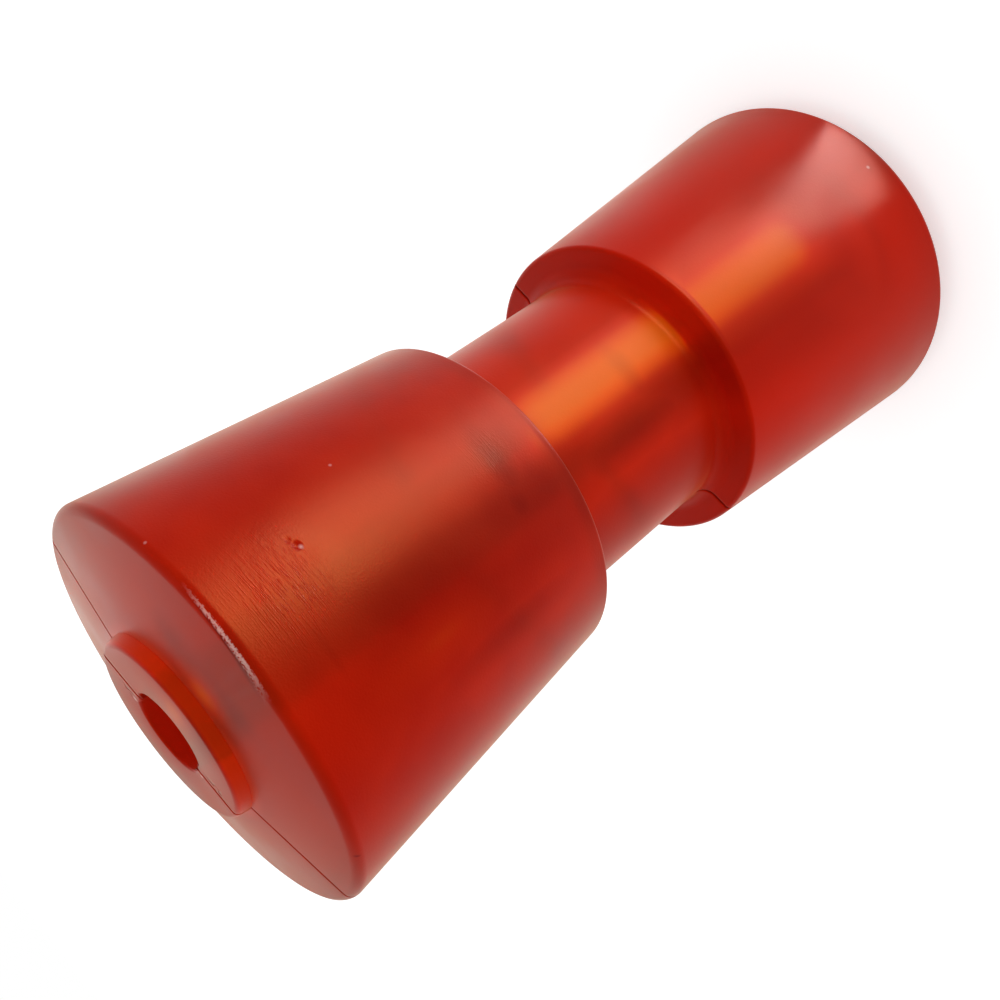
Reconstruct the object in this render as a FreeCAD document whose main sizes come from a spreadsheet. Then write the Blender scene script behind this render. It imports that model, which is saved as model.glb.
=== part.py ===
"""Keel roller for a boat trailer.

One solid moulding of revolution in cast polyurethane. Two tapered ends guide the keel
down into a plain round waist between two square shoulders. Each end face rises in a
shallow cone to a round hub, and one bore for the spindle runs from hub face to hub face.

The roller stands on one hub face: +Z runs along its axis, and the origin is the centre
of the lower hub face. Sizes are in millimetres.
"""
import FreeCAD, Part

import math
import os

import Sketcher

# Driving sizes
SIZES = {
    "overall_length": 200.0,
    "end_diameter": 84.5,
    "shoulder_diameter": 72.0,
    "shoulder_gap": 48.0,
    "waist_diameter": 56.5,
    "face_rise": 2.7,
    "hub_diameter": 38.2,
    "hub_height": 2.8,
    "hub_draft": 8.0,
    "bore_diameter": 16.5,
    "rim_rounding": 2.0,
    "shoulder_rounding": 1.0,
    "waist_fillet": 3.5,
    "hub_rounding": 1.0,
    "bore_rounding": 0.5,
}


def add_sheet(doc):
    """The sheet that holds every driving size under its own name."""
    sheet = doc.addObject("Spreadsheet::Sheet", "Sizes")
    for row, (name, value) in enumerate(SIZES.items(), 1):
        sheet.set(f"A{row}", name)
        sheet.set(f"B{row}", str(value))
        sheet.setAlias(f"B{row}", name)
    doc.recompute()
    return sheet


def origin_plane(body, role):
    """One of the body's own origin planes."""
    for feature in body.Origin.OriginFeatures:
        if feature.Role == role:
            return feature
    raise ValueError(f"no plane {role}")


def half_section(sheet):
    """Corners (radius, height above the middle) of the section of one half of the roller.

    They run from the bore at mid-length outwards and back down the bore's wall. The rim
    between the tapered side and the end face is an arc, whose centre comes second and
    whose end angles come third.
    """
    bore = sheet.bore_diameter / 2
    waist = sheet.waist_diameter / 2
    shoulder = sheet.shoulder_diameter / 2
    hub = sheet.hub_diameter / 2
    hub_face = hub - sheet.hub_height * math.tan(math.radians(sheet.hub_draft))
    top = sheet.overall_length / 2
    hub_foot = top - sheet.hub_height
    shelf = sheet.shoulder_gap / 2
    rounding = sheet.rim_rounding
    centre = (sheet.end_diameter / 2 - rounding, hub_foot - sheet.face_rise - rounding)
    side_angle = -math.atan2(centre[0] - shoulder, centre[1] - shelf)
    face_angle = math.pi / 2 - math.atan2(sheet.face_rise, centre[0] - hub)
    rim_points = [
        (centre[0] + rounding * math.cos(angle), centre[1] + rounding * math.sin(angle))
        for angle in (side_angle, face_angle)
    ]
    corners = {
        "bore_middle": (bore, 0.0),
        "waist_middle": (waist, 0.0),
        "waist_end": (waist, shelf),
        "shoulder": (shoulder, shelf),
        "rim_side": rim_points[0],
        "rim_face": rim_points[1],
        "hub_foot": (hub, hub_foot),
        "hub_face": (hub_face, top),
        "bore_mouth": (bore, top),
    }
    return corners, centre, (side_angle, face_angle)


# Radius and height of each corner, as sums of the driving sizes
CORNER_RADIUS = {
    "bore_middle": "Sizes.bore_diameter / 2",
    "waist_middle": "Sizes.waist_diameter / 2",
    "shoulder": "Sizes.shoulder_diameter / 2",
    "hub_foot": "Sizes.hub_diameter / 2",
    "hub_face": "Sizes.hub_diameter / 2 - Sizes.hub_height * tan(Sizes.hub_draft)",
}
CORNER_HEIGHT = {
    "shoulder": "Sizes.shoulder_gap / 2",
    "hub_foot": "Sizes.overall_length / 2 - Sizes.hub_height",
    "hub_face": "Sizes.overall_length / 2",
}
LEVEL_LINES = ("bore_middle", "waist_end", "hub_face")
UPRIGHT_LINES = ("waist_middle", "bore_mouth")
RIM_ARC = "rim_side"
RIM_CENTRE_RADIUS = "Sizes.end_diameter / 2 - Sizes.rim_rounding"
RIM_CENTRE_HEIGHT = (
    "Sizes.overall_length / 2 - Sizes.hub_height - Sizes.face_rise - Sizes.rim_rounding"
)


def add_dimension(sketch, label, expression, *constraint):
    """A named dimension of the sketch that follows the sheet."""
    number = sketch.addConstraint(Sketcher.Constraint(*constraint))
    sketch.renameConstraint(number, label)
    sketch.setExpression(f"Constraints.{label}", expression)


def draw_section(sketch, corners, centre, angles):
    """The closed outline of the half section, held by named dimensions."""
    names = list(corners)
    rim = names.index(RIM_ARC)
    points = [FreeCAD.Vector(radius, height, 0) for radius, height in corners.values()]
    centre_point = FreeCAD.Vector(*centre, 0)
    rounding = (points[rim] - centre_point).Length
    circle = Part.Circle(centre_point, FreeCAD.Vector(0, 0, 1), rounding)
    for number, (start, end) in enumerate(zip(points, points[1:] + points[:1])):
        if number == rim:
            sketch.addGeometry(Part.ArcOfCircle(circle, *angles), False)
        else:
            sketch.addGeometry(Part.LineSegment(start, end), False)
    for number in range(len(names)):
        following = (number + 1) % len(names)
        joint = "Tangent" if rim in (number, following) else "Coincident"
        sketch.addConstraint(Sketcher.Constraint(joint, number, 2, following, 1))
    for name in LEVEL_LINES:
        sketch.addConstraint(Sketcher.Constraint("Horizontal", names.index(name)))
    for name in UPRIGHT_LINES:
        sketch.addConstraint(Sketcher.Constraint("Vertical", names.index(name)))
    sketch.addConstraint(Sketcher.Constraint("PointOnObject", 0, 1, -1))
    for name, expression in CORNER_RADIUS.items():
        place = (-1, 1, names.index(name), 1, corners[name][0])
        add_dimension(sketch, f"{name}_radius", expression, "DistanceX", *place)
    for name, expression in CORNER_HEIGHT.items():
        place = (-1, 1, names.index(name), 1, corners[name][1])
        add_dimension(sketch, f"{name}_height", expression, "DistanceY", *place)
    add_dimension(sketch, "rim_rounding", "Sizes.rim_rounding", "Radius", rim, rounding)
    across = (-1, 1, rim, 3, centre[0])
    add_dimension(sketch, "rim_centre_radius", RIM_CENTRE_RADIUS, "DistanceX", *across)
    upward = (-1, 1, rim, 3, centre[1])
    add_dimension(sketch, "rim_centre_height", RIM_CENTRE_HEIGHT, "DistanceY", *upward)


def ring_edges(shape, radius, height):
    """Names of the circular edges of one radius at one distance from mid-length."""
    names = []
    for number, edge in enumerate(shape.Edges, 1):
        curve = edge.Curve
        if not isinstance(curve, Part.Circle):
            continue
        if abs(curve.Radius - radius) < 1e-4 and abs(abs(curve.Center.z) - height) < 1e-4:
            names.append(f"Edge{number}")
    return names


# Corner that each rounding softens, and the size that sets its radius
ROUNDINGS = {
    "ShoulderRounding": ("shoulder", "shoulder_rounding"),
    "WaistFillet": ("waist_end", "waist_fillet"),
    "HubRounding": ("hub_face", "hub_rounding"),
    "BoreRounding": ("bore_mouth", "bore_rounding"),
}


def build_roller(doc, sheet):
    """The moulding: half of it turned, mirrored about mid-length, then its edges rounded."""
    corners, rim_centre, rim_angles = half_section(sheet)
    body = doc.addObject("PartDesign::Body", "KeelRoller")
    body.Label = "keel_roller"
    section = body.newObject("Sketcher::SketchObject", "HalfSection")
    section.AttachmentSupport = [(origin_plane(body, "XZ_Plane"), "")]
    section.MapMode = "FlatFace"
    draw_section(section, corners, rim_centre, rim_angles)
    half = body.newObject("PartDesign::Revolution", "HalfRoller")
    half.Profile = section
    half.ReferenceAxis = (section, ["V_Axis"])
    half.Angle = 360
    doc.recompute()
    whole = body.newObject("PartDesign::Mirrored", "WholeRoller")
    whole.Originals = [half]
    whole.MirrorPlane = (origin_plane(body, "XY_Plane"), [""])
    whole.Refine = True
    body.Tip = whole
    doc.recompute()
    base = whole
    for name, (corner, size) in ROUNDINGS.items():
        rounding = body.newObject("PartDesign::Fillet", name)
        rounding.Base = (base, ring_edges(base.Shape, *corners[corner]))
        rounding.setExpression("Radius", f"Sizes.{size}")
        doc.recompute()
        base = rounding
    body.Tip = base
    body.setExpression("Placement.Base.z", "Sizes.overall_length / 2")
    return body


def check_model(doc, body):
    """Stop where a feature failed or the solid is not sound."""
    for item in doc.Objects:
        if "Invalid" in item.State or "Error" in item.State:
            raise RuntimeError(f"{item.Label} failed: {item.State}")
    shape = body.Shape
    if shape.isNull() or not shape.isValid() or len(shape.Solids) != 1:
        raise RuntimeError(f"{body.Label} is not one valid solid")


document = FreeCAD.newDocument("KeelRoller")
sizes = add_sheet(document)
roller = build_roller(document, sizes)
document.recompute()
check_model(document, roller)
os.makedirs("parts", exist_ok=True)
roller.Shape.exportStep(f"parts/{roller.Label}.step")
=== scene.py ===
"""Keel roller for a boat trailer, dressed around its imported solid.

The roller stands on one hub face with its axis on +Z, and the joint between the two halves
of its mould lies in the XZ plane. Every length is in metres.
"""

import math

import bmesh
import bpy
from mathutils import Euler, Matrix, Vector, noise


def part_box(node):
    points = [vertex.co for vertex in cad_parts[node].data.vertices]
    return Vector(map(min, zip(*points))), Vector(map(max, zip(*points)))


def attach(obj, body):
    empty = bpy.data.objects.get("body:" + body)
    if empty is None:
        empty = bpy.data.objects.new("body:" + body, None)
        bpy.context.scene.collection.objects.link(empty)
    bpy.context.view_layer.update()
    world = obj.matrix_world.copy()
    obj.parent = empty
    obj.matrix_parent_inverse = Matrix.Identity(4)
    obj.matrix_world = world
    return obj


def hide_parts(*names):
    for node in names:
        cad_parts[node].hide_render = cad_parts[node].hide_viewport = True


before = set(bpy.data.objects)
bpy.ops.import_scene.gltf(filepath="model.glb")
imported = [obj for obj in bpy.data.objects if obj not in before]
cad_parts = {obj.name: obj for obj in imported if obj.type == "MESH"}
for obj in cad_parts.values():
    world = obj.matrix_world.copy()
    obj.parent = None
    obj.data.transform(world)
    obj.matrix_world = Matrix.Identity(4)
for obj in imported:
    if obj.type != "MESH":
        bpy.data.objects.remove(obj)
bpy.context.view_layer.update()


# Roller. One solid moulding of revolution in translucent red cast polyurethane, poured
# in a two-part mould: two tapered ends, a round waist between square shoulders, and a
# hub round the spindle bore on each end face.
LOW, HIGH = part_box("keel_roller")
MIDDLE = (LOW.z + HIGH.z) / 2
HALF_LENGTH = (HIGH.z - LOW.z) / 2
SHOULDER_RADIUS = 0.036
SHOULDER_GAP = 0.048
SHELF_HEIGHT = SHOULDER_GAP / 2
SHOULDER_ROUNDING = 0.001
WAIST_RADIUS = 0.02825
WAIST_FILLET = 0.0035
HUB_RADIUS = 0.0191
HUB_FACE_RADIUS = 0.0187
HUB_HEIGHT = 0.0028
HUB_ROUNDING = 0.001
BORE_RADIUS = 0.00825
BORE_ROUNDING = 0.0005
# The rim is the corner where side and end face would meet sharply. Its height and the
# shelf's, which is the inner face of a shoulder, are measured from mid-length.
RIM_RADIUS = 0.04239
RIM_HEIGHT = 0.09424
RIM_ROUNDING = 0.00193
TURNS = 576
# A length too small to tell from nought.
HAIR = 1e-6


def ring(mesh, radius, height):
    """The edges of one ring of the turned mesh."""
    def on_ring(vertex):
        across = math.hypot(vertex.co.x, vertex.co.y)
        return abs(across - radius) < HAIR and abs(vertex.co.z - height) < HAIR
    return [edge for edge in mesh.edges if on_ring(edge.verts[0]) and on_ring(edge.verts[1])]


def turn_roller():
    """The section turned about the axis, with its corners rounded."""
    half = [
        (BORE_RADIUS, HALF_LENGTH),
        (HUB_FACE_RADIUS, HALF_LENGTH),
        (HUB_RADIUS, HALF_LENGTH - HUB_HEIGHT),
        (RIM_RADIUS, RIM_HEIGHT),
        (SHOULDER_RADIUS, SHELF_HEIGHT),
        (WAIST_RADIUS, SHELF_HEIGHT),
    ]
    section = half + [(radius, -height) for radius, height in reversed(half)]
    mesh = bmesh.new()
    corners = [mesh.verts.new((radius, 0, MIDDLE + height)) for radius, height in section]
    for start, end in zip(corners, corners[1:] + corners[:1]):
        mesh.edges.new((start, end))
    bmesh.ops.spin(
        mesh, geom=mesh.verts[:] + mesh.edges[:], axis=(0, 0, 1), cent=(0, 0, 0),
        angle=math.tau, steps=TURNS, use_merge=True, use_duplicate=False,
    )
    bmesh.ops.remove_doubles(mesh, verts=mesh.verts[:], dist=HAIR / 10)
    bmesh.ops.recalc_face_normals(mesh, faces=mesh.faces[:])
    roundings = (
        (BORE_RADIUS, HALF_LENGTH, BORE_ROUNDING, 4),
        (HUB_FACE_RADIUS, HALF_LENGTH, HUB_ROUNDING, 6),
        (RIM_RADIUS, RIM_HEIGHT, RIM_ROUNDING, 12),
        (SHOULDER_RADIUS, SHELF_HEIGHT, SHOULDER_ROUNDING, 6),
        (WAIST_RADIUS, SHELF_HEIGHT, WAIST_FILLET, 8),
    )
    for radius, height, size, segments in roundings:
        edges = ring(mesh, radius, MIDDLE + height) + ring(mesh, radius, MIDDLE - height)
        bmesh.ops.bevel(
            mesh, geom=edges, offset=size, offset_type="OFFSET", affect="EDGES",
            segments=segments, profile=0.5, material=-1, clamp_overlap=True,
        )
    return mesh


def cut_across(mesh, point, direction):
    """An extra loop of edges where a plane crosses the mesh."""
    everything = mesh.verts[:] + mesh.edges[:] + mesh.faces[:]
    bmesh.ops.bisect_plane(
        mesh, geom=everything, dist=HAIR / 10, plane_co=point, plane_no=direction,
    )


def ragged(place, fineness, level, swing):
    """An uneven height that is nought in places, like a torn or rubbed edge."""
    return max(0.0, level + swing * noise.noise(place * fineness))


# Each chip that a knock left: its centre, its reach and its depth. The side is cut into
# fine steps round their level, so that the mesh can hold them.
CHIPS = (
    (Vector((0.00385, -0.04055, 0.17586)), 0.0008, 0.00045),
    (Vector((0.00535, -0.04043, 0.17639)), 0.0006, 0.0002),
)
CHIP_LEVEL = 0.1760
CHIP_STEP = 0.0002
CHIP_STEPS = 8


def knock_side(mesh):
    """Two small chips that a knock left in the upper tapered side."""
    for step in range(-CHIP_STEPS, CHIP_STEPS + 1):
        cut_across(mesh, (0, 0, CHIP_LEVEL + step * CHIP_STEP), (0, 0, 1))
    mesh.normal_update()
    for centre, reach, depth in CHIPS:
        for vertex in mesh.verts:
            away = (vertex.co - centre).length
            if away < reach:
                vertex.co -= vertex.normal * depth * (1 - (away / reach) ** 2)


SEAM_HALF_WIDTH = 0.0004
SEAM_DEPTH = 0.0003


def press_seam(mesh):
    """The fine groove that the joint of the mould left along each side and end face."""
    for side in (-1, 1):
        cut_across(mesh, (0, side * SEAM_HALF_WIDTH, 0), (0, 1, 0))
    mesh.normal_update()
    bore_lip = BORE_RADIUS + 0.0003
    for vertex in mesh.verts:
        beside = abs(vertex.co.y)
        if beside < SEAM_HALF_WIDTH - HAIR and abs(vertex.co.x) > bore_lip:
            vertex.co -= vertex.normal * SEAM_DEPTH * (1 - beside / SEAM_HALF_WIDTH)


# The scuffed line on the upper rim: its height where the bearing is nought, and how much
# it falls for each radian of bearing.
SCUFF_HEIGHT = 0.1915
SCUFF_FALL = 0.0015


def scuff_rim(mesh):
    """The ragged lip that rubbing raised along a part of the upper rim."""
    half_width = 0.0004
    lip = 0.0002
    middle, reach = -89, 22
    mesh.normal_update()
    for vertex in mesh.verts:
        bearing = math.atan2(vertex.co.y, vertex.co.x)
        from_line = abs(vertex.co.z - SCUFF_HEIGHT + SCUFF_FALL * bearing)
        along = abs(math.degrees(bearing) - middle) / reach
        if from_line < half_width and along < 1:
            fade = (1 - from_line / half_width) * (1 - along ** 2)
            vertex.co += vertex.normal * lip * fade * ragged(vertex.co, 1500, 0.5, 1.4)


def tear_flash(mesh):
    """Torn bits of flash where the joint of the mould meets the mouth of the bore."""
    lip_width = 0.0004
    lip_depth = 0.0006
    half_angle = 16
    tallest = 0.0009
    for vertex in mesh.verts:
        across = math.hypot(vertex.co.x, vertex.co.y)
        from_joint = abs(math.degrees(math.atan2(vertex.co.y, abs(vertex.co.x))))
        from_end = min(abs(vertex.co.z - LOW.z), abs(vertex.co.z - HIGH.z))
        at_lip = across < BORE_RADIUS + lip_width and from_end < lip_depth
        if at_lip and from_joint < half_angle:
            fade = 1 - (from_joint / half_angle) ** 2
            inward = 1 - tallest * ragged(vertex.co, 1300, 0.4, 1.5) * fade / across
            vertex.co.x *= inward
            vertex.co.y *= inward


roller_mesh = turn_roller()
knock_side(roller_mesh)
press_seam(roller_mesh)
scuff_rim(roller_mesh)
tear_flash(roller_mesh)
bmesh.ops.recalc_face_normals(roller_mesh, faces=roller_mesh.faces[:])
roller_data = bpy.data.meshes.new("roller")
roller_mesh.to_mesh(roller_data)
roller_mesh.free()
roller = bpy.data.objects.new("roller", roller_data)
bpy.context.scene.collection.objects.link(roller)
for face in roller_data.polygons:
    face.use_smooth = True
roller_data.set_sharp_from_angle(angle=math.radians(40))


def feed(tree, socket, value):
    """Link what comes from another node, or set a plain value."""
    if isinstance(value, bpy.types.NodeSocket):
        tree.links.new(value, socket)
    else:
        socket.default_value = value


def reckon(tree, operation, first, second=0.0):
    """One sum of two values."""
    node = tree.nodes.new("ShaderNodeMath")
    node.operation = operation
    feed(tree, node.inputs[0], first)
    feed(tree, node.inputs[1], second)
    return node.outputs[0]


def times(tree, first, second):
    """The product of two values."""
    return reckon(tree, "MULTIPLY", first, second)


def any_of(tree, *masks):
    """One mask of several, as strong as the strongest of them."""
    total = masks[0]
    for mask in masks[1:]:
        total = reckon(tree, "MAXIMUM", total, mask)
    return total


def away_from(tree, value, mark):
    """How far a value is from a mark, to either side."""
    return reckon(tree, "ABSOLUTE", reckon(tree, "SUBTRACT", value, mark))


def ramp(tree, value, start, end, low=0.0, high=1.0):
    """A soft step from low to high while the value goes from start to end."""
    node = tree.nodes.new("ShaderNodeMapRange")
    node.interpolation_type = "SMOOTHSTEP"
    feed(tree, node.inputs["Value"], value)
    node.inputs["From Min"].default_value = start
    node.inputs["From Max"].default_value = end
    node.inputs["To Min"].default_value = low
    node.inputs["To Max"].default_value = high
    return node.outputs["Result"]


def blend(tree, share, first, second):
    """A colour between two, nearer the second as the share grows."""
    node = tree.nodes.new("ShaderNodeMix")
    node.data_type = "RGBA"
    feed(tree, node.inputs["Factor"], share)
    feed(tree, node.inputs["A"], first)
    feed(tree, node.inputs["B"], second)
    return node.outputs["Result"]


def texture(tree, place, waves, detail=2.0, stretch=(1, 1, 1)):
    """Cloudy noise, drawn out along the axes where its stretch is small."""
    mapping = tree.nodes.new("ShaderNodeMapping")
    mapping.inputs["Scale"].default_value = stretch
    tree.links.new(place, mapping.inputs["Vector"])
    node = tree.nodes.new("ShaderNodeTexNoise")
    node.inputs["Scale"].default_value = waves
    node.inputs["Detail"].default_value = detail
    tree.links.new(mapping.outputs["Vector"], node.inputs["Vector"])
    return node.outputs["Fac"]


def soft_patch_group():
    """A soft round patch about a centre, as wide on each axis as its size says."""
    group = bpy.data.node_groups.new("soft_patch", "ShaderNodeTree")
    for name in ("Place", "Centre", "Size"):
        group.interface.new_socket(name, in_out="INPUT", socket_type="NodeSocketVector")
    group.interface.new_socket("Mask", in_out="OUTPUT", socket_type="NodeSocketFloat")
    given = group.nodes.new("NodeGroupInput")
    result = group.nodes.new("NodeGroupOutput")
    away = group.nodes.new("ShaderNodeVectorMath")
    away.operation = "SUBTRACT"
    group.links.new(given.outputs["Place"], away.inputs[0])
    group.links.new(given.outputs["Centre"], away.inputs[1])
    shares = group.nodes.new("ShaderNodeVectorMath")
    shares.operation = "DIVIDE"
    group.links.new(away.outputs[0], shares.inputs[0])
    group.links.new(given.outputs["Size"], shares.inputs[1])
    length = group.nodes.new("ShaderNodeVectorMath")
    length.operation = "LENGTH"
    group.links.new(shares.outputs[0], length.inputs[0])
    group.links.new(ramp(group, length.outputs["Value"], 1.0, 0.0), result.inputs["Mask"])
    return group


SOFT_PATCH = soft_patch_group()


def patches(tree, place, spots):
    """One mask of several soft patches, each a centre, a size and a strength."""
    masks = []
    for centre, size, strength in spots:
        node = tree.nodes.new("ShaderNodeGroup")
        node.node_tree = SOFT_PATCH
        tree.links.new(place, node.inputs["Place"])
        node.inputs["Centre"].default_value = centre
        node.inputs["Size"].default_value = size
        masks.append(times(tree, node.outputs["Mask"], strength))
    return any_of(tree, *masks)


def bands(tree, bearing, height, runs):
    """One mask of several soft bands up and down the roller.

    Each is a bearing and a half width in degrees, the height of its middle and its half
    length, and a strength.
    """
    masks = []
    for azimuth, spread, middle, reach, strength in runs:
        turned = away_from(tree, bearing, math.radians(azimuth))
        along = away_from(tree, height, middle)
        across = ramp(tree, turned, math.radians(spread), math.radians(spread * 0.1))
        masks.append(times(tree, across, ramp(tree, along, reach, reach * 0.5, 0.0, strength)))
    return any_of(tree, *masks)


# Painted light: an orange glow painted on, standing in for light through the resin, in spots and
# in two bands on the side that is turned to the lamps.
PAINTED_GLOW_SPOTS = (
    ((-0.0205, -0.0333, 0.1650), (0.0060, 0.0075, 0.0200), 0.40),
    ((-0.0040, -0.0362, 0.1262), (0.0100, 0.0100, 0.0066), 0.42),
    ((-0.0030, -0.0385, 0.1450), (0.0080, 0.0120, 0.0180), 0.22),
    ((-0.0002, -0.0135, 0.2000), (0.0075, 0.0115, 0.0040), 0.50),
    ((-0.0026, -0.0222, 0.1968), (0.0090, 0.0070, 0.0035), 0.52),
)
PAINTED_GLOW_BANDS = (
    (-90, 25, 0.0980, 0.0340, 0.68),
    (-94, 20, 0.0640, 0.0330, 0.60),
)
# Painted shade: a deep, dull red where shade falls, in spots and in bands beside the painted
# glow; the tiny spot is a real dark tick.
PAINTED_SHADE_AND_TICK_SPOTS = (
    ((-0.0154, -0.0345, 0.1400), (0.0045, 0.0060, 0.0160), 0.40),
    ((-0.0035, -0.0370, 0.1362), (0.0105, 0.0080, 0.0048), 0.62),
    ((-0.0120, -0.0353, 0.1378), (0.0065, 0.0060, 0.0060), 0.60),
    ((-0.0152, -0.0375, 0.1680), (0.0030, 0.0060, 0.0180), 0.55),
    ((-0.0266, -0.0285, 0.1500), (0.0050, 0.0070, 0.0320), 0.50),
    ((-0.0140, -0.0385, 0.1825), (0.0140, 0.0090, 0.0022), 0.30),
    ((-0.0128, -0.0252, 0.1000), (0.0070, 0.0100, 0.0300), 0.60),
    ((-0.0040, -0.0275, 0.0935), (0.0130, 0.0100, 0.0040), 0.20),
    ((0.0062, -0.0270, 0.1961), (0.0080, 0.0060, 0.0030), 0.45),
    ((-0.0095, -0.0262, 0.1962), (0.0060, 0.0055, 0.0030), 0.30),
    ((-0.0371, -0.0190, 0.1935), (0.0009, 0.0005, 0.0009), 1.0),
)
PAINTED_SHADE_BANDS = (
    (-116, 24, 0.1480, 0.0450, 0.50),
    (-116, 22, 0.0600, 0.0450, 0.40),
    (-148, 30, 0.1000, 0.0300, 0.40),
    (-84, 22, 0.0140, 0.0400, 0.45),
)
# The flash of the joint is torn off on both sides of the bore.
TORN_SPOTS = (
    ((0.0108, 0.0022, 0.2000), (0.0036, 0.0018, 0.0020), 1.0),
    ((-0.0130, -0.0016, 0.2000), (0.0044, 0.0018, 0.0020), 1.0),
)
# Whitish specks, and painted glints on the fresh face of a chip and on two crumbs of the flash.
SPECKS_AND_GLINT_SPOTS = (
    ((0.0033, -0.0404, 0.1755), (0.0007, 0.0010, 0.0005), 1.0),
    ((0.0182, -0.0380, 0.1929), (0.0004, 0.0004, 0.0004), 0.6),
    ((0.0126, -0.0373, 0.1610), (0.0004, 0.0004, 0.0004), 0.6),
    ((-0.0003, -0.0418, 0.0122), (0.0006, 0.0006, 0.0006), 0.5),
    ((0.0091, 0.0030, 0.2000), (0.0010, 0.0008, 0.0010), 1.0),
    ((-0.0094, 0.0011, 0.2000), (0.0006, 0.0006, 0.0006), 0.8),
)
# Rubbing left fine strokes round the upper side, most of all beside the rim.
RUBBED_SPOTS = (
    ((0.0000, -0.0415, 0.1830), (0.0150, 0.0120, 0.0120), 1.0),
    ((0.0000, -0.0370, 0.1370), (0.0080, 0.0100, 0.0080), 0.5),
)

# How fine the textures of the resin are, in waves to a metre.
CLOUD_WAVES = 60
RIP_WAVES = 700
CRUMB_WAVES = 2400
GRAIN_WAVES = 3000
STROKE_WAVES = (300, 300, 5200)

RED = (0.42, 0.009, 0.0015, 1)
LIGHTER_RED = (0.50, 0.014, 0.0015, 1)
# A lighter red painted on the lower end as painted light.
PAINTED_LIGHT_LOWER_END_RED = (0.56, 0.012, 0.002, 1)
END_FACE_RED = (0.14, 0.020, 0.004, 1)
# The red and the orange of the painted glow.
PAINTED_GLOW_RED = (1.0, 0.05, 0.004, 1)
PAINTED_GLOW_ORANGE = (1.0, 0.26, 0.002, 1)
# The red of the painted shade and of the tick.
PAINTED_SHADE_AND_TICK_RED = (0.14, 0.001, 0.0008, 1)
SEAM_RED = (0.12, 0.002, 0.001, 1)
TORN_RED = (0.20, 0.002, 0.001, 1)
SHADE_RED = (0.08, 0.001, 0.001, 1)
# The pink of the chalky scuffs and specks, also used for the painted glints.
CHALKY_PINK_AND_GLINT = (0.90, 0.62, 0.56, 1)


class Spot:
    """Where a point of the roller is: its place, radius, height and bearing."""

    def __init__(self, tree):
        self.place = tree.nodes.new("ShaderNodeTexCoord").outputs["Object"]
        axes = tree.nodes.new("ShaderNodeSeparateXYZ")
        tree.links.new(self.place, axes.inputs[0])
        flat = tree.nodes.new("ShaderNodeCombineXYZ")
        tree.links.new(axes.outputs["X"], flat.inputs["X"])
        tree.links.new(axes.outputs["Y"], flat.inputs["Y"])
        across = tree.nodes.new("ShaderNodeVectorMath")
        across.operation = "LENGTH"
        tree.links.new(flat.outputs[0], across.inputs[0])
        self.radius = across.outputs["Value"]
        self.height = axes.outputs["Z"]
        self.bearing = reckon(tree, "ARCTAN2", axes.outputs["Y"], axes.outputs["X"])
        self.from_joint = reckon(tree, "ABSOLUTE", axes.outputs["Y"])
        self.from_middle = away_from(tree, self.height, MIDDLE)


def painted_glow_mask(tree, spot):
    """Painted glow of light through the resin: the waist, the spots, the bands and the sides of
    the hubs.
    """
    clear = any_of(
        tree, ramp(tree, spot.from_middle, SHELF_HEIGHT + 0.003, SHELF_HEIGHT - 0.004, 0.0, 0.15),
        patches(tree, spot.place, PAINTED_GLOW_SPOTS),
        bands(tree, spot.bearing, spot.height, PAINTED_GLOW_BANDS),
    )
    on_shelf = times(
        tree, ramp(tree, spot.radius, WAIST_RADIUS + 0.00035, WAIST_RADIUS + 0.00155),
        ramp(tree, spot.from_middle, SHELF_HEIGHT + 0.0022, SHELF_HEIGHT + 0.001),
    )
    clear = times(tree, clear, ramp(tree, on_shelf, 0.0, 1.0, 1.0, 0.25))
    # Painted glow on the sides of the hubs.
    hub_foot = HIGH.z - HUB_HEIGHT
    painted_hub_glow = times(
        tree, ramp(tree, spot.height, hub_foot - 0.0004, hub_foot + 0.0002),
        ramp(tree, spot.radius, HUB_FACE_RADIUS - 0.0007, HUB_FACE_RADIUS + 0.0001),
    )
    return any_of(tree, clear, times(tree, painted_hub_glow, 0.4))


def resin_colour(tree, spot, clouds):
    """The red of the resin, with painted glow, painted shade, a lower end painted lighter and a
    dark line in the seam.
    """
    lower_shelf = MIDDLE - SHELF_HEIGHT
    upper_rim = MIDDLE + RIM_HEIGHT
    # Painted light: the lower end is painted lighter to make up for the floor's shade there.
    lit_lower_end = ramp(tree, spot.height, lower_shelf + 0.0025, lower_shelf - 0.0015)
    end_face = ramp(tree, spot.height, upper_rim - 0.00174, upper_rim - 0.00024, 0.0, 0.2)
    colour = blend(tree, clouds, RED, LIGHTER_RED)
    colour = blend(tree, lit_lower_end, colour, PAINTED_LIGHT_LOWER_END_RED)
    colour = blend(tree, end_face, colour, END_FACE_RED)
    # Painted glow: orange red, then orange where the glow is strongest.
    clear = painted_glow_mask(tree, spot)
    colour = blend(tree, clear, colour, PAINTED_GLOW_RED)
    colour = blend(tree, ramp(tree, clear, 0.30, 1.0), colour, PAINTED_GLOW_ORANGE)
    # Painted shade, with one real tick mark.
    painted_shade_and_tick = any_of(
        tree, patches(tree, spot.place, PAINTED_SHADE_AND_TICK_SPOTS),
        bands(tree, spot.bearing, spot.height, PAINTED_SHADE_BANDS),
    )
    colour = blend(tree, painted_shade_and_tick, colour, PAINTED_SHADE_AND_TICK_RED)
    in_seam = ramp(tree, spot.from_joint, SEAM_HALF_WIDTH, SEAM_HALF_WIDTH / 4, 0.0, 0.9)
    return blend(tree, in_seam, colour, SEAM_RED)


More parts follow.
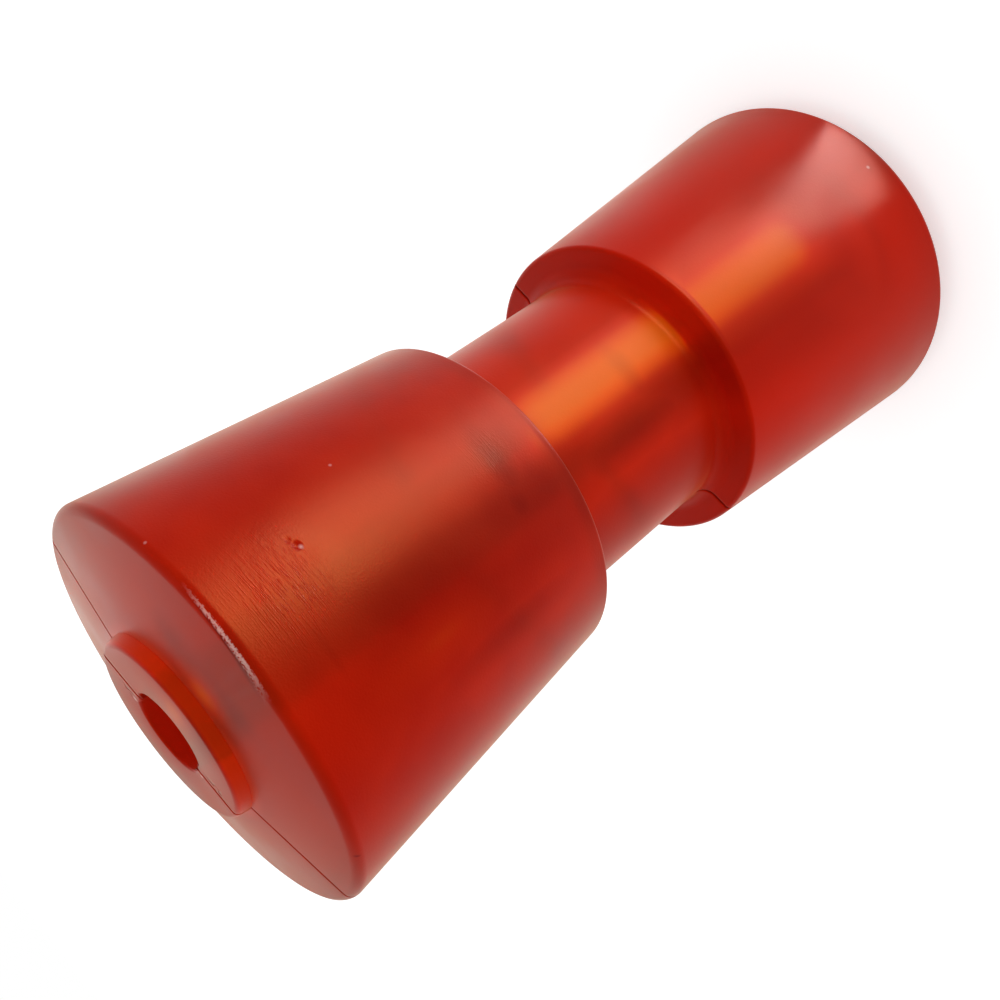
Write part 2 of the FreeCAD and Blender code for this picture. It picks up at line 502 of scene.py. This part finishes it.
def scuff_masks(tree, spot):
    """The chalky scuffed line on the upper rim, and the shade along its upper side."""
    middle, reach, full_reach = -93, 16, 4
    off_middle = away_from(tree, spot.bearing, math.radians(middle))
    on_rim = ramp(tree, off_middle, math.radians(reach), math.radians(full_reach))
    levelled = reckon(tree, "ADD", spot.height, times(tree, spot.bearing, SCUFF_FALL))
    above_line = reckon(tree, "SUBTRACT", levelled, SCUFF_HEIGHT)
    from_line = reckon(tree, "ABSOLUTE", above_line)
    crumbs = times(
        tree, ramp(tree, texture(tree, spot.place, CRUMB_WAVES, 1.0), 0.40, 0.60),
        ramp(tree, from_line, 0.00038, 0.00014),
    )
    worn = any_of(tree, crumbs, ramp(tree, from_line, 0.00018, 0.00006, 0.0, 0.8))
    from_shade = away_from(tree, above_line, 0.00035)
    shade = ramp(tree, from_shade, 0.0002, 0.0, 0.0, 0.7)
    return times(tree, on_rim, worn), times(tree, on_rim, shade)


def urethane():
    """Cast polyurethane, red, mottled and satin: seam, scuffs, rubbed places, painted glow, shade
    and glints.
    """
    material = bpy.data.materials.new("urethane")
    material.use_nodes = True
    tree = material.node_tree
    shader = tree.nodes["Principled BSDF"]
    spot = Spot(tree)
    clouds = ramp(tree, texture(tree, spot.place, CLOUD_WAVES), 0.3, 0.7)
    scuffed, shaded = scuff_masks(tree, spot)
    rips = ramp(tree, texture(tree, spot.place, RIP_WAVES, 1.0), 0.44, 0.56)
    ripped = times(tree, patches(tree, spot.place, TORN_SPOTS), rips)

    colour = resin_colour(tree, spot, clouds)
    colour = blend(tree, ripped, colour, TORN_RED)
    colour = blend(tree, shaded, colour, SHADE_RED)
    # Real chalky scuffs and whitish specks, and painted glints on a chip and on two crumbs of
    # flash.
    scuffs_specks_and_glints = any_of(tree, scuffed, patches(tree, spot.place, SPECKS_AND_GLINT_SPOTS))
    feed(tree, shader.inputs["Base Color"], blend(tree, scuffs_specks_and_glints, colour, CHALKY_PINK_AND_GLINT))

    rubbed = patches(tree, spot.place, RUBBED_SPOTS)
    strokes = ramp(tree, texture(tree, spot.place, 1.0, 1.0, STROKE_WAVES), 0.44, 0.72)
    relief = times(tree, texture(tree, spot.place, GRAIN_WAVES, 0.0), 0.9)
    marks = ((times(tree, strokes, rubbed), 2.2), (scuffed, 3.0), (ripped, -9.0))
    for mark, rise in marks:
        relief = reckon(tree, "ADD", relief, times(tree, mark, rise))
    bump = tree.nodes.new("ShaderNodeBump")
    bump.inputs["Strength"].default_value = 1.0
    bump.inputs["Distance"].default_value = 0.00002
    tree.links.new(relief, bump.inputs["Height"])
    tree.links.new(bump.outputs["Normal"], shader.inputs["Normal"])
    satin = ramp(tree, clouds, 0.0, 1.0, 0.32, 0.38)
    satin = reckon(tree, "ADD", satin, times(tree, scuffed, 0.3))
    feed(tree, shader.inputs["Roughness"], satin)

    shader.inputs["IOR"].default_value = 1.15
    shader.inputs["Sheen Weight"].default_value = 0.35
    shader.inputs["Sheen Roughness"].default_value = 0.30
    shader.inputs["Sheen Tint"].default_value = (0.85, 0.65, 0.30, 1)
    shader.inputs["Specular IOR Level"].default_value = 0.5
    shader.inputs["Specular Tint"].default_value = (1.0, 0.33, 0.06, 1)
    shader.inputs["Transmission Weight"].default_value = 0.5
    inside = tree.nodes.new("ShaderNodeVolumeAbsorption")
    inside.inputs["Color"].default_value = (0.93, 0.12, 0.03, 1)
    inside.inputs["Density"].default_value = 25
    tree.links.new(inside.outputs["Volume"], tree.nodes["Material Output"].inputs["Volume"])
    return material


roller_data.materials.append(urethane())
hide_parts("keel_roller")
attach(roller, "root")


# Floor. A plain white sheet of paper that the roller stands on, wide enough to reach past
# the picture on every side.
WHITE_PAPER = (0.85, 0.85, 0.85, 1)
PAPER_GLOW = 0.45


def shown_rays(tree):
    """1 for the rays that see the surroundings as the camera, gloss and clear resin do."""
    path = tree.nodes.new("ShaderNodeLightPath").outputs
    return any_of(
        tree, path["Is Camera Ray"], path["Is Glossy Ray"], path["Is Transmission Ray"],
    )


def white_sheet():
    """Matt white paper, topped up to plain white where it is only looked at."""
    material = bpy.data.materials.new("white_sheet")
    material.use_nodes = True
    tree = material.node_tree
    tree.nodes.clear()
    paper = tree.nodes.new("ShaderNodeBsdfDiffuse")
    paper.inputs["Color"].default_value = WHITE_PAPER
    glow = tree.nodes.new("ShaderNodeEmission")
    feed(tree, glow.inputs["Strength"], times(tree, shown_rays(tree), PAPER_GLOW))
    both = tree.nodes.new("ShaderNodeAddShader")
    tree.links.new(paper.outputs[0], both.inputs[0])
    tree.links.new(glow.outputs[0], both.inputs[1])
    out = tree.nodes.new("ShaderNodeOutputMaterial")
    tree.links.new(both.outputs[0], out.inputs["Surface"])
    return material


floor_mesh = bmesh.new()
bmesh.ops.create_circle(floor_mesh, cap_ends=True, segments=96, radius=6)
floor_data = bpy.data.meshes.new("floor")
floor_mesh.to_mesh(floor_data)
floor_mesh.free()
floor_data.materials.append(white_sheet())
floor = bpy.data.objects.new("floor", floor_data)
bpy.context.scene.collection.objects.link(floor)


# Room. Plain white walls all round, which light the roller evenly and look pure white in
# the picture.
ROOM_LIGHT = 0.85
ROOM_WHITE = 1.0


def white_room():
    """The light of the walls, and their white where they are looked at."""
    world = bpy.data.worlds.new("white_room")
    world.use_nodes = True
    tree = world.node_tree
    background = tree.nodes["Background"]
    background.inputs["Color"].default_value = (1, 1, 1, 1)
    level = ramp(tree, shown_rays(tree), 0.0, 1.0, ROOM_LIGHT, ROOM_WHITE)
    feed(tree, background.inputs["Strength"], level)
    return world


bpy.context.scene.world = white_room()


# Lamps. Soft strips lie on the floor before the roller, where the photograph's light
# comes from, with softer panels at its right and behind it. They show as reflections
# only, apart from the fill, which gives plain light and no reflection.
def soft_lamp(name, place, turn, length, width, brightness):
    """A flat panel that shines evenly over its whole face."""
    data = bpy.data.lights.new(name, "AREA")
    data.shape = "RECTANGLE"
    data.size = length
    data.size_y = width
    data.energy = brightness * math.pi * length * width
    lamp = bpy.data.objects.new(name, data)
    bpy.context.scene.collection.objects.link(lamp)
    lamp.location = place
    lamp.rotation_euler = turn
    lamp.visible_camera = False
    lamp.visible_diffuse = False
    lamp.visible_transmission = False
    return lamp


def floor_lamp(name, azimuth, near, far, width, brightness, slant=0):
    """A panel that lies on the floor, face up, between two distances from the roller."""
    bearing = math.radians(azimuth)
    middle = (near + far) / 2
    place = (middle * math.cos(bearing), middle * math.sin(bearing), 0.004)
    turn = (math.pi, 0, bearing + math.radians(slant))
    return soft_lamp(name, place, turn, far - near, width, brightness)


floor_lamp("strip_near", -81, near=0.046, far=0.10, width=0.030, brightness=25, slant=9)
floor_lamp("strip_middle", -73, near=0.10, far=0.24, width=0.080, brightness=19)
floor_lamp("strip_far", -75, near=0.24, far=0.55, width=0.22, brightness=66)
floor_lamp("side_panel", 30, near=0.06, far=0.6, width=0.3, brightness=0.5)
fill = floor_lamp("fill", -92, near=0.06, far=0.5, width=0.26, brightness=2.0)
fill.visible_diffuse = True
fill.visible_glossy = False
back_place = Vector((0.45, 0.66, 0.36))
back_aim = Vector((0, 0, 0.17))
back_turn = (back_aim - back_place).to_track_quat("-Z", "Y").to_euler()
soft_lamp("back_panel", back_place, back_turn, length=0.5, width=0.5, brightness=0.8)


# Camera. Above the upper end and rolled, as the photograph was taken. Its place, turn and
# lens come from the fit to the photograph.
camera_data = bpy.data.cameras.new("camera")
camera_data.sensor_width = 36
camera_data.lens = 40.75
camera_data.clip_start = 0.01
camera = bpy.data.objects.new("camera", camera_data)
bpy.context.scene.collection.objects.link(camera)
camera.location = (-0.03753, -0.20008, 0.24075)
camera.rotation_euler = Euler([math.radians(angle) for angle in (-45.192, 43.0, -155.761)])
bpy.context.scene.camera = camera

bpy.context.scene.view_settings.view_transform = "Standard"
